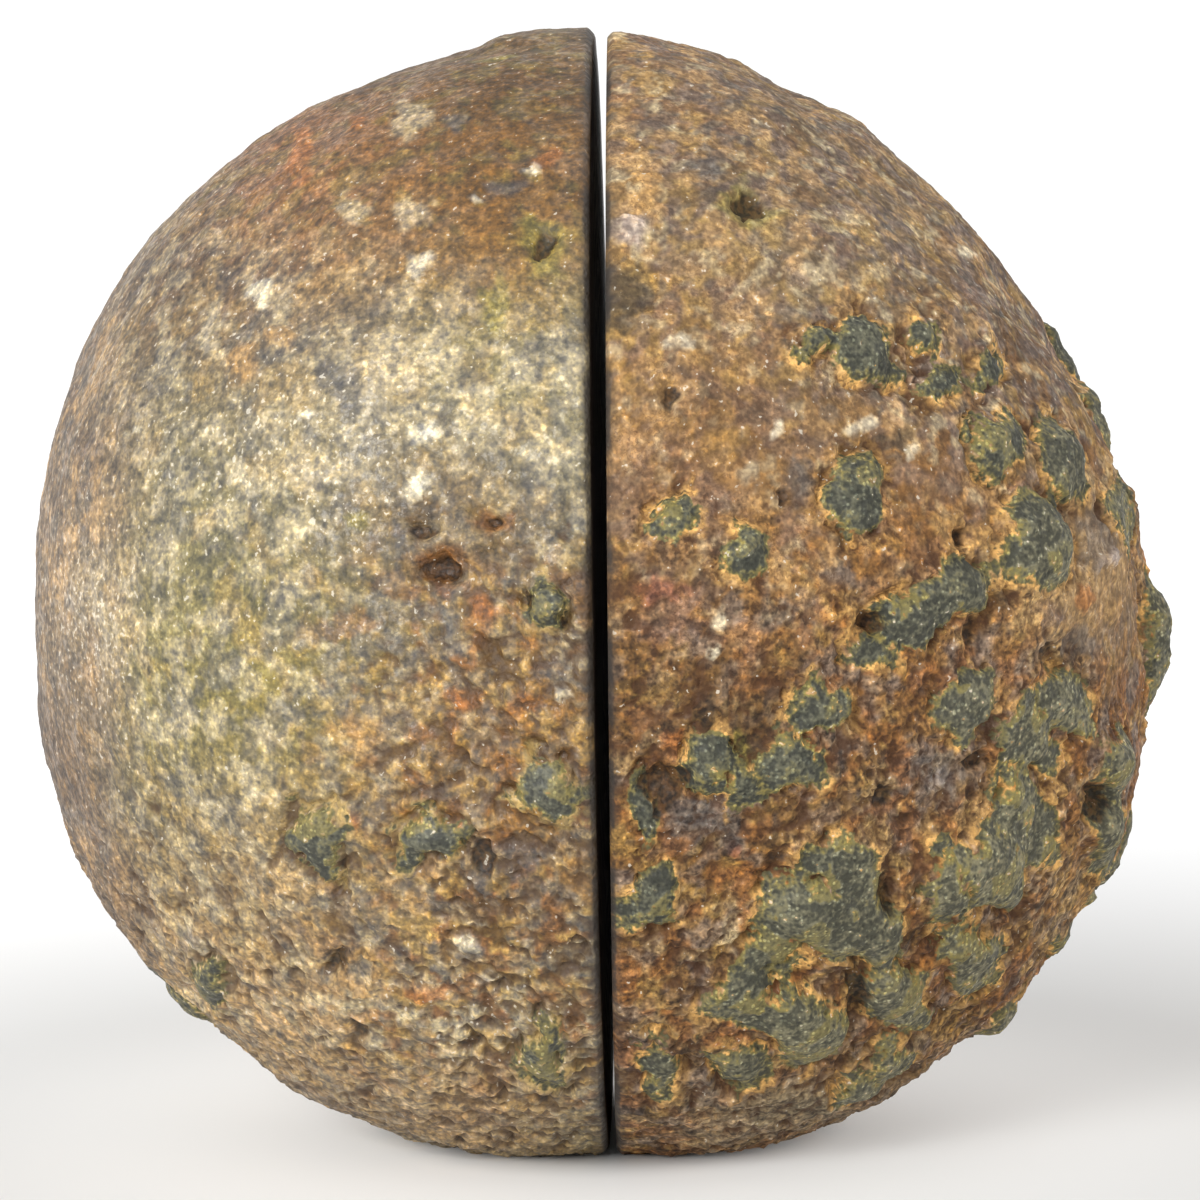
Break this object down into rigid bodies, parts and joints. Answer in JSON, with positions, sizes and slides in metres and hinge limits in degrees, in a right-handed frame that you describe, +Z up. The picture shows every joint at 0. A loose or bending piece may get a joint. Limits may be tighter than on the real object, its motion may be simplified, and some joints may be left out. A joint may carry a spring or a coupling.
{
  "type": "agate nodule",
  "caption": "Rounded agate nodule with a rough, crusted rind, sawn through the middle, its halves standing face to face.",
  "frame": {"origin": "under the middle of the stone's outline, on the surface that it rests on", "axes": "+Z up; +X square to the saw cut, from the left half to the right half as seen from the front; the front faces -Y"},
  "size_m": [0.0804, 0.0749, 0.0786],
  "materials": {
    "worn_rind": "satin",
    "rough_rind": "matte"
  },
  "bodies": {
    "root": {"left_half": "worn_rind", "right_half": "rough_rind"}
  },
  "joints": []
}
